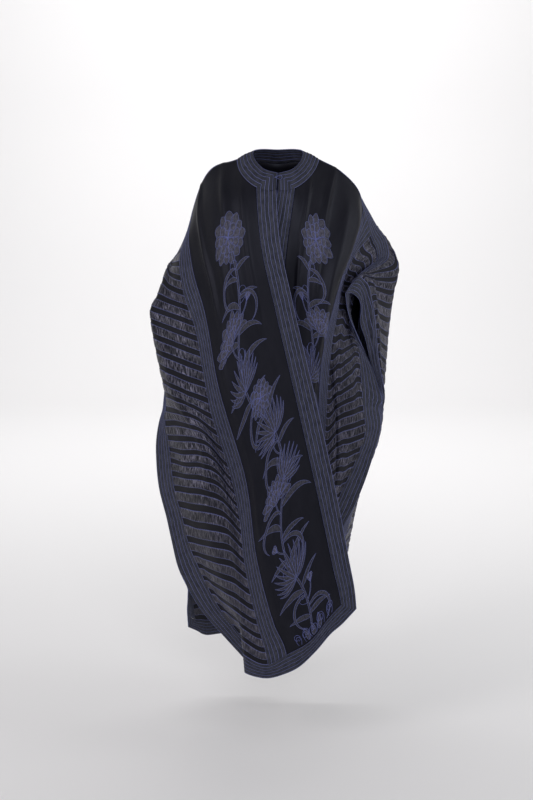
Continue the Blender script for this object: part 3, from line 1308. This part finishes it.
def stem_line():
    """The stem's blades, and its places and headings a millimetre apart."""
    start, heading = metres(STEM_START), STEM_HEADING
    blades, places, turns = [], [], []
    for length, curl in STEM_ARCS:
        blades.append(blade(start, heading, length, STEM_WIDTH, curl, "stalk", *LAYERS["stem"]))
        line, turn = walk(start, heading, length, curl, length)
        places.append(line[:-1])
        turns.append(np.degrees(turn[:-1]))
        start, heading = line[-1], heading + curl
    return blades, np.concatenate(places + [[start]]), np.concatenate(turns + [[heading]])


def bud(start, heading, size):
    """Three petals, one on top of the other two."""
    wide = size * BUD_WIDTH
    blades = []
    for turn, level in BUD_PETALS:
        blades.append(blade(start, heading + turn, size, wide, turn * BUD_CURL, "petal", level, BUD_BRIGHT))
    return blades


def petals(foot, size, ring, row, unequal, turns):
    """One ring of petals. The row is as in its table, and turns has the heading and curl of each petal."""
    reach, wide, bright = row
    most, beat = unequal
    blades = []
    for k, (heading, curl) in enumerate(turns):
        length = size * reach * (1 + most * math.sin(k * beat + ring))
        level = 2 * ring + k % 2
        blades.append(blade(foot, heading, length, size * wide, curl, "petal", level, bright))
    return blades


def round_flower(start, heading, size):
    """Rings of petals round a foot that lies a little up from the end of the stem."""
    along = math.radians(heading)
    foot = np.array(start) + size * ROUND_FOOT * MM * np.array((math.sin(along), -math.cos(along)))
    blades = []
    for ring, (count, *row) in enumerate(ROUND_RINGS):
        turns = [(heading + 360 * (k + 0.5 * ring) / count, ROUND_CURL) for k in range(count)]
        blades += petals(foot, size, ring, row, ROUND_UNEQUAL, turns)
    return blades


def fan_flower(start, heading, size):
    """Rings of petals to one side, with small leaves on top of their feet."""
    blades = []
    for ring, (count, spread_by, *row) in enumerate(FAN_RINGS):
        fanned = [spread_by * (k / (count - 1) - 0.5) for k in range(count)]
        turns = [(heading + turn, turn * FAN_CURL) for turn in fanned]
        blades += petals(start, size, ring, row, FAN_UNEQUAL, turns)
    reach, wide, *layer = FAN_LEAF
    for turn in FAN_LEAF_TURNS:
        blades.append(blade(start, heading + turn, size * reach, size * wide, -turn, "leaf", *layer))
    return blades


FLOWERS = {"bud": bud, "round": round_flower, "fan": fan_flower}


def design():
    """Every blade and every cord of the applique, on the flat cloth."""
    blades, places, turns = stem_line()
    cords = []
    for table, kind in ((LEAVES, "leaf"), (CURLED_LEAVES, "curled")):
        for at, turn, length, width, curl in table:
            blades.append(blade(places[at], turns[at] + turn, length, width, curl, "leaf", *LAYERS[kind]))
    for at, turn, count, spread_by, length, width, curl in TUFTS:
        for k in range(count):
            part = k / (count - 1) - 0.5
            sized = length * (1 - TUFT_LOSS * part * part)
            heading = turns[at] + turn + spread_by * part
            layer = (1 + k % 2, TUFT_BRIGHT)
            blades.append(blade(places[at], heading, sized, width, curl * part, "leaf", *layer))
    for at, turn, stalk, curl, kind, size in BLOOMS:
        at = min(at, len(places) - 1)
        start, heading = places[at], turns[at] + turn
        if stalk:
            blades.append(blade(start, heading, stalk, STALK_WIDTH, curl, "stalk", *LAYERS["stalk"]))
            line, _ = walk(start, heading, stalk, curl)
            start, heading = line[-1], heading + curl
        blades += FLOWERS[kind](start, heading, size)
    for at, turn, length, curl in TENDRILS:
        line, _ = walk(places[at], turns[at] + turn, length, curl, TENDRIL_STEPS, TIGHTEN)
        cords.append((line, OUTLINE_RADIUS, *LAYERS["tendril"]))
    for *start, heading, length, curl in SCROLLS:
        line, _ = walk(metres(start), heading, length, curl, TENDRIL_STEPS, TIGHTEN)
        cords.append((line, OUTLINE_RADIUS, *LAYERS["scroll"]))
    for *start, heading, length, width, curl in MOUND:
        blades.append(blade(metres(start), heading, length, width, curl, "leaf", *LAYERS["mound"]))
    for made in blades:
        cords += [(line, radius, made["level"], made["bright"]) for line, radius in made["cords"]]
    return blades, cords


def on_front(side, flat):
    """Places and ways out of one front, at flat places on it, with its folds."""
    lines, _, outward = cloth_of(side, "front")
    across, down = flat[:, 0], flat[:, 1]
    way = facing(lines, outward, across, down)
    rise = FACE + folds(FOLDS[side + "_front"], across, down)
    return on_cloth(lines, across, down) + way * rise[:, None], way


def build_flowers(side):
    """The applique of one front: its cloth and its cords."""
    blades, cords = design()
    flat = np.concatenate([made["places"].reshape(-1, 2) for made in blades])
    height = np.concatenate([made["height"].ravel() for made in blades])
    bright = np.concatenate([np.full(made["height"].size, made["bright"]) for made in blades])
    places, ways = on_front(side, flat)
    faces, first = [], 0
    for made in blades:
        columns, rows = made["height"].shape
        faces += quads(first, columns, rows).tolist()
        first += columns * rows
    points = places + ways * height[:, None]
    flats = np.concatenate([flat, bright[:, None]], axis=1)
    cloth = mesh_piece(side + "_front_flowers", points, faces, flats, "flower_cloth", ways)
    return [cloth, build_cords(side, cords)]


def build_cords(side, cords):
    """The cords that outline the applique, as thin tubes on the cloth."""
    flat = np.concatenate([cord[0] for cord in cords])
    places, ways = on_front(side, flat)
    points, flats, faces, out = [], [], [], []
    at, first = 0, 0
    for line, radius, level, bright in cords:
        count = len(line)
        middle, way = places[at : at + count], ways[at : at + count]
        centre = middle + way * (FILL_HEIGHT + level * ON_TOP + CORD_LIFT)
        rings, more = tube(centre, way, radius, first)
        points.append(rings)
        out.append(rings - np.repeat(centre, CORD_SIDES, axis=0))
        faces += more
        lit = np.concatenate([line, np.full((count, 1), bright)], axis=1)
        flats.append(np.repeat(lit, CORD_SIDES, axis=0))
        at += count
        first += count * CORD_SIDES
    name = side + "_front_flower_cords"
    points, flats, out = np.concatenate(points), np.concatenate(flats), np.concatenate(out)
    return mesh_piece(name, points, faces, flats, "flower_cord", out)


def ring_faces(first, rings, sides):
    """The faces of a row of rings of points, each to the next."""
    faces = []
    for k in range(rings - 1):
        for m in range(sides):
            a = first + k * sides + m
            b = first + k * sides + (m + 1) % sides
            faces.append((a, b, b + sides, a + sides))
    return faces


def tube(centre, way, radius, first):
    """Points and faces of a round cord along its middle line. way is one way square to it at each point."""
    turn = np.arange(CORD_SIDES) / CORD_SIDES * 2 * math.pi
    side_way = unit(np.cross(np.gradient(centre, axis=0), way))
    up, aside = np.cos(turn)[None, :, None], np.sin(turn)[None, :, None]
    rings = centre[:, None] + radius * (way[:, None] * up + side_way[:, None] * aside)
    faces = ring_faces(first, len(centre), CORD_SIDES)
    last = first + (len(centre) - 1) * CORD_SIDES
    faces.append(tuple(first + m for m in reversed(range(CORD_SIDES))))
    faces.append(tuple(last + m for m in range(CORD_SIDES)))
    return rings.reshape(-1, 3), faces


# The middle of the covered button, in metres, and its outline: how far from its axis and how far in front.
BUTTON_PLACE = (0.0045, -0.0860, 1.5035 - NECK_HEIGHT)
BUTTON_SHAPE = (
    (0.0, -2.4), (2.6, -2.0), (3.9, -1.1), (4.5, -0.2), (4.3, 0.7), (3.5, 1.6), (2.3, 2.3), (1.0, 2.7),
    (0.0, 2.8),
)
BUTTON_POINTS = 24
# The gathers of its cloth: their depth and number, and how far to the front they reach.
GATHER = 0.05
GATHERS = 12
GATHER_REACH = 0.5 * MM
# Where the weave of its cloth starts, and how much it is drawn together.
BUTTON_WEAVE = (0.004, 0.3)
# The loop round it: across, up and in front of its middle.
LOOP_RADIUS = 0.6 * MM
LOOP_STEPS = 61
LOOP_BRIGHT = 0.3
LOOP_SHAPE = (
    (-14.0, 0.0, 0.6), (-9.0, 1.2, 0.9), (-4.6, 3.6, 0.6), (0.0, 5.1, 0.2), (4.2, 3.0, 0.2),
    (5.1, 0.0, 0.2), (4.2, -3.0, 0.2), (0.0, -5.1, 0.2), (-4.6, -3.6, 0.6), (-9.0, -1.2, 0.9),
    (-14.0, 0.0, 0.6),
)


def build_button():
    """A small covered button with its cloth gathered in behind."""
    turn = np.arange(BUTTON_POINTS) / BUTTON_POINTS * 2 * math.pi
    shape = np.array(BUTTON_SHAPE) * MM
    gather = 1 + GATHER * np.cos(turn * GATHERS)[None, :] * (shape[:, 1:] < GATHER_REACH)
    reach = shape[:, :1] * gather
    places = np.stack([reach * np.cos(turn), -shape[:, 1:] + 0 * reach, reach * np.sin(turn)], axis=-1)
    start, drawn = BUTTON_WEAVE
    flats = np.stack([reach * turn, start + drawn * reach, 0 * reach], axis=-1).reshape(-1, 3)
    out = places.reshape(-1, 3)
    faces = ring_faces(0, len(shape), BUTTON_POINTS)
    points = out + np.array(BUTTON_PLACE)
    button = mesh_piece("covered_button", points, faces, flats, "button_cloth", out)
    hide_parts("neck_button")


def build_loop():
    """A small cord loop that runs round the button from the other side."""
    table = np.array(LOOP_SHAPE) * MM
    centre = spline(np.arange(len(table)), table, np.linspace(0, len(table) - 1, LOOP_STEPS))
    centre = np.stack([centre[:, 0], -centre[:, 2], centre[:, 1]], axis=1) + np.array(BUTTON_PLACE)
    way = np.repeat(np.array([[0.0, -1.0, 0.0]]), len(centre), axis=0)
    rings, faces = tube(centre, way, LOOP_RADIUS, 0)
    flats = np.concatenate([rings[:, [0, 2]], np.full((len(rings), 1), LOOP_BRIGHT)], axis=1)
    out = rings - np.repeat(centre, CORD_SIDES, axis=0)
    mesh_piece("button_loop", rings, faces, flats, "flower_cord", out)


def mirrored(middle, half):
    """Columns of a cloth that goes across the back, the same on both sides of its middle ones."""
    return np.concatenate([-half[::-1], middle, half])


def build_cloth():
    for side in ("right", "left"):
        build_down(side, "front")
        build_down(side, "back")
        columns = spread(EDGE_SEAM, INSET_SEAM, PLAIN_STEP)
        rows = spread(0.0, HEM_SEAM, FRONT_STEP)
        rows[0] = 0.0
        name = side + "_front_"
        build_plain(name + "plain_panel", side, "front", columns, rows, front_cut, PLAIN_FRONT_SEED)
        columns = hem_columns(0.0, SIDE)
        build_across(name + "hem_band", side, "front", columns, front_hem, HEM_SEAM, FRONT_HEM_SEED)
        columns = hem_columns(NECK_WIDTH + GAP / 2, SIDE)
        columns[0] = NECK_WIDTH + GAP / 2
        build_across(side + "_shoulder_band", side, "back", columns, shoulder, 0.0, SHOULDER_SEED)
    inner, outer = spread(0.0, NECK_WIDTH, PLAIN_STEP)[1:], spread(NECK_WIDTH, INSET_SEAM, PLAIN_STEP)
    columns = mirrored([0.0], np.concatenate([inner, outer]))
    rows = spread(BAND, HEM_SEAM, BACK_STEP)
    rows[0] = BAND
    build_plain("back_plain_panel", "left", "back", columns, rows, back_cut, PLAIN_BACK_SEED)
    columns = mirrored(spread(-BAND, BAND, FRONT_STEP), hem_columns(BAND, SIDE))
    build_across("back_hem_band", "left", "back", columns, back_hem, HEM_SEAM, BACK_HEM_SEED)
    build_neck()


# The room, in metres: how far it reaches to the front, back, side and up, and the bend of its backdrop.
ROOM_FRONT, ROOM_BACK, ROOM_SIDE, ROOM_TOP = -8.0, 5.0, 12.0, 8.0
BACKDROP_BEND = 2.5
BACKDROP_STEPS = 16
FLOOR_COLOUR = (0.80, 0.79, 0.79)
FLOOR_ROUGHNESS = 0.55
WORLD_COLOUR = (0.97, 0.975, 1.0)
WORLD_STRENGTH = 0.36
# name, place, what it looks at and size in metres, power in watts, colour
LIGHTS = (
    ("left_side", (-2.3, -1.6, 0.6), (0, 0, -0.5), (0.8, 2.2), 26, (1.0, 0.97, 0.98)),
    ("right_side", (2.6, -0.3, 0.3), (0, 0, -0.5), (0.8, 2.2), 19, (0.97, 0.98, 1.0)),
    ("front_fill", (0.4, -4.2, 1.4), (0, 0, -0.6), (2.4, 1.4), 64, (0.98, 0.98, 1.0)),
    ("wall_wash", (0, 2.0, 3.4), (0, 7.0, 0.4), (6.0, 1.0), 320, (1, 1, 1)),
)
# The camera's place in metres, its turn up from straight down in degrees, and its lens and sensor in
# millimetres.
CAMERA_PLACE = (-0.03, -2.97, -0.123)
CAMERA_TILT = 80.38
CAMERA_LENS = 50
CAMERA_SENSOR = 36


def placed(name, data, place, turn):
    """A light or a camera at its place in the scene."""
    thing = bpy.data.objects.new(name, data)
    thing.location = place
    thing.rotation_euler = turn
    bpy.context.scene.collection.objects.link(thing)
    return thing


def area_light(name, place, aim, size, power, colour):
    data = bpy.data.lights.new(name, "AREA")
    data.shape = "RECTANGLE"
    data.size, data.size_y = size
    data.energy = power
    data.color = colour
    way = mathutils.Vector(aim) - mathutils.Vector(place)
    placed(name, data, place, way.to_track_quat("-Z", "Y").to_euler())


def build_room():
    """A near-white floor that curves up into a backdrop, and a bright world."""
    floor = -NECK_HEIGHT
    profile = [(ROOM_FRONT, floor), (ROOM_BACK, floor)]
    for k in range(1, BACKDROP_STEPS + 1):
        turn = k / BACKDROP_STEPS * math.pi / 2
        y = ROOM_BACK + BACKDROP_BEND * math.sin(turn)
        profile.append((y, floor + BACKDROP_BEND * (1 - math.cos(turn))))
    profile.append((ROOM_BACK + BACKDROP_BEND, ROOM_TOP))
    points = [(x, y, z) for x in (-ROOM_SIDE, ROOM_SIDE) for y, z in profile]
    count = len(profile)
    faces = [(k, count + k, count + k + 1, k + 1) for k in range(count - 1)]
    mesh = bpy.data.meshes.new("room_floor")
    mesh.from_pydata(points, [], faces)
    mesh.polygons.foreach_set("use_smooth", np.ones(len(faces), bool))
    material = bpy.data.materials.new("room_floor")
    material.use_nodes = True
    surface = material.node_tree.nodes["Principled BSDF"]
    surface.inputs["Base Color"].default_value = (*FLOOR_COLOUR, 1)
    surface.inputs["Roughness"].default_value = FLOOR_ROUGHNESS
    mesh.materials.append(material)
    room = bpy.data.objects.new("room_floor", mesh)
    bpy.context.scene.collection.objects.link(room)
    world = bpy.data.worlds.new("room")
    bpy.context.scene.world = world
    world.use_nodes = True
    background = world.node_tree.nodes["Background"]
    background.inputs["Color"].default_value = (*WORLD_COLOUR, 1)
    background.inputs["Strength"].default_value = WORLD_STRENGTH


def build_camera():
    bpy.context.scene.view_settings.view_transform = "Standard"
    data = bpy.data.cameras.new("camera")
    data.lens = CAMERA_LENS
    data.sensor_width = CAMERA_SENSOR
    bpy.context.scene.camera = placed("camera", data, CAMERA_PLACE, (math.radians(CAMERA_TILT), 0, 0))


plain_crepe()
ribbed_band()
striped_crinkle()
flower_cloth()
flower_cord()
button_cloth()
build_cloth()
build_button()
build_loop()
flowers = {side + "_front_plain_panel": build_flowers(side) for side in ("right", "left")}
build_room()
for light in LIGHTS:
    area_light(*light)
build_camera()
